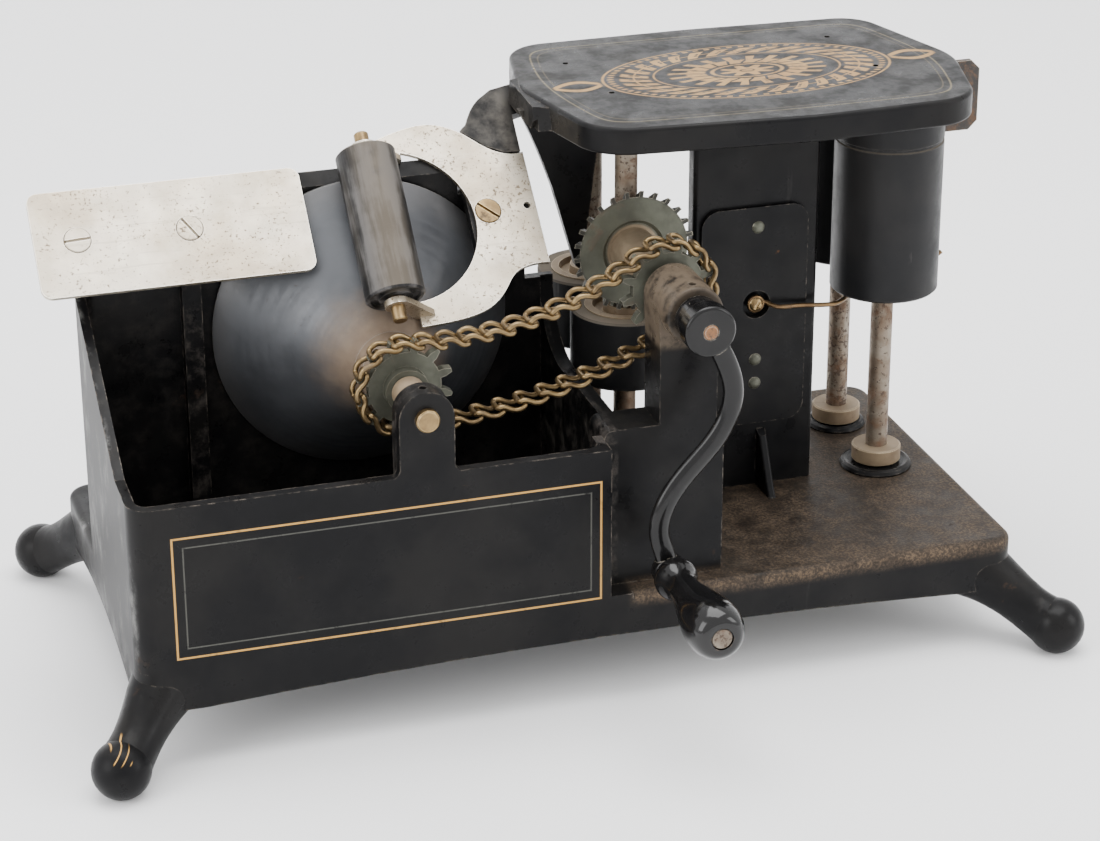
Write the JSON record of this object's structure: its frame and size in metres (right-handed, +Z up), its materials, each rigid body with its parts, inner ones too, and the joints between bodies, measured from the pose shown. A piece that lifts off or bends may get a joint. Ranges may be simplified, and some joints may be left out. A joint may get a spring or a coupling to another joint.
{
  "type": "envelope sealing machine",
  "caption": "Hand-cranked cast-iron office machine that wets, folds and presses envelope flaps with rubber rollers, a conical water disc and a wire chain.",
  "frame": {"origin": "middle of the whole machine's footprint, on the table the feet stand on", "axes": "+Z up, +X the way the envelopes travel, -Y the side with the crank and its knob"},
  "size_m": [0.4239, 0.276, 0.23],
  "materials": {
    "black_japan": "semi-gloss black japan, worn and dusty",
    "nickel": "old nickel plate, speckled",
    "disc_grey": "satin grey, brown near the hub",
    "brass": "tarnished",
    "iron": "dull, oily",
    "steel": "pitted, rust brown",
    "collar_bronze": "dull bronze",
    "black_iron": "dusty black",
    "rubber": "old hard rubber",
    "crank_black": "gloss black with bright worn edges",
    "knob_black": "turned wood, glossy black paint"
  },
  "bodies": {
    "frame": {"base_casting": "black_japan", "table_casting": "black_japan", "column": "black_japan", "column_cover": "black_japan", "cover_screws": "iron", "left_deck_plate": "nickel", "deck_screws": "nickel", "crescent_plate": "nickel", "crescent_screw": "brass", "press_roller_pin": "brass", "front_left_bush": "black_iron", "rear_left_bush": "black_iron", "front_right_bush": "black_iron", "rear_right_bush": "black_iron", "idler_stud": "steel", "guide_wire": "brass", "guide_wire_screw": "brass", "exit_guide": "steel", "drive_chain": "brass"},
    "crank": {"crank_shaft": "steel", "crank_arm": "crank_black", "crank_sprocket": "iron", "bevel_gear": "iron", "gear_hub_screws": "steel", "knob_spindle": "steel"},
    "knob": {"crank_knob": "knob_black"},
    "disc": {"disc_shaft": "brass", "moistening_disc": "disc_grey", "disc_shaft_sleeve": "brass", "disc_sprocket": "iron"},
    "press": {"press_roller": "rubber"},
    "idler": {"idler_gear": "iron"},
    "front_left": {"front_left_shaft": "steel", "front_left_collar": "collar_bronze", "front_left_spool": "collar_bronze", "front_left_roller": "rubber", "front_left_gear": "iron", "bevel_pinion": "iron"},
    "rear_left": {"rear_left_shaft": "steel", "rear_left_collar": "collar_bronze", "rear_left_spool": "collar_bronze", "rear_left_roller": "rubber", "rear_left_gear": "iron"},
    "front_right": {"front_right_shaft": "steel", "front_right_collar": "collar_bronze", "front_right_spool": "black_iron", "front_right_roller": "rubber", "front_right_gear": "iron"},
    "rear_right": {"rear_right_shaft": "steel", "rear_right_collar": "collar_bronze", "rear_right_spool": "black_iron", "rear_right_roller": "rubber", "rear_right_gear": "iron"}
  },
  "joints": [
    {"name": "crank_turn", "type": "hinge", "parent": "frame", "child": "crank", "pos_m": [0.04, -0.05, 0.1665], "axis": [0, 1, 0], "continuous": true, "deforming": ["drive_chain"]},
    {"name": "disc_turn", "type": "hinge", "parent": "frame", "child": "disc", "pos_m": [-0.0705, 0, 0.137], "axis": [0, 1, 0], "continuous": true},
    {"name": "knob_turn", "type": "hinge", "parent": "crank", "child": "knob", "pos_m": [0.0254, -0.1, 0.06353], "axis": [0, 1, 0], "continuous": true},
    {"name": "press_roller_turn", "type": "hinge", "parent": "frame", "child": "press", "pos_m": [-0.068, 0.01527, 0.18973], "axis": [0, 0.7071, 0.7071], "continuous": true},
    {"name": "front_left_turn", "type": "hinge", "parent": "frame", "child": "front_left", "pos_m": [0.04, 0.0254, 0.1], "axis": [0, 0, 1], "continuous": true},
    {"name": "rear_left_turn", "type": "hinge", "parent": "frame", "child": "rear_left", "pos_m": [0.04, 0.0724, 0.1], "axis": [0, 0, 1], "continuous": true},
    {"name": "front_right_turn", "type": "hinge", "parent": "frame", "child": "front_right", "pos_m": [0.158, 0.0254, 0.1], "axis": [0, 0, 1], "continuous": true},
    {"name": "rear_right_turn", "type": "hinge", "parent": "frame", "child": "rear_right", "pos_m": [0.158, 0.0724, 0.1], "axis": [0, 0, 1], "continuous": true},
    {"name": "idler_turn", "type": "hinge", "parent": "frame", "child": "idler", "pos_m": [0.099, 0.0161, 0.034], "axis": [0, 0, 1], "continuous": true}
  ],
  "couplings": [
    {"joint": "disc_turn", "follows": "crank_turn", "ratio": 1},
    {"joint": "front_left_turn", "follows": "crank_turn", "ratio": -2.5},
    {"joint": "rear_left_turn", "follows": "crank_turn", "ratio": 2.5},
    {"joint": "front_right_turn", "follows": "crank_turn", "ratio": -2.5},
    {"joint": "rear_right_turn", "follows": "crank_turn", "ratio": 2.5},
    {"joint": "idler_turn", "follows": "crank_turn", "ratio": 1.6216}
  ]
}
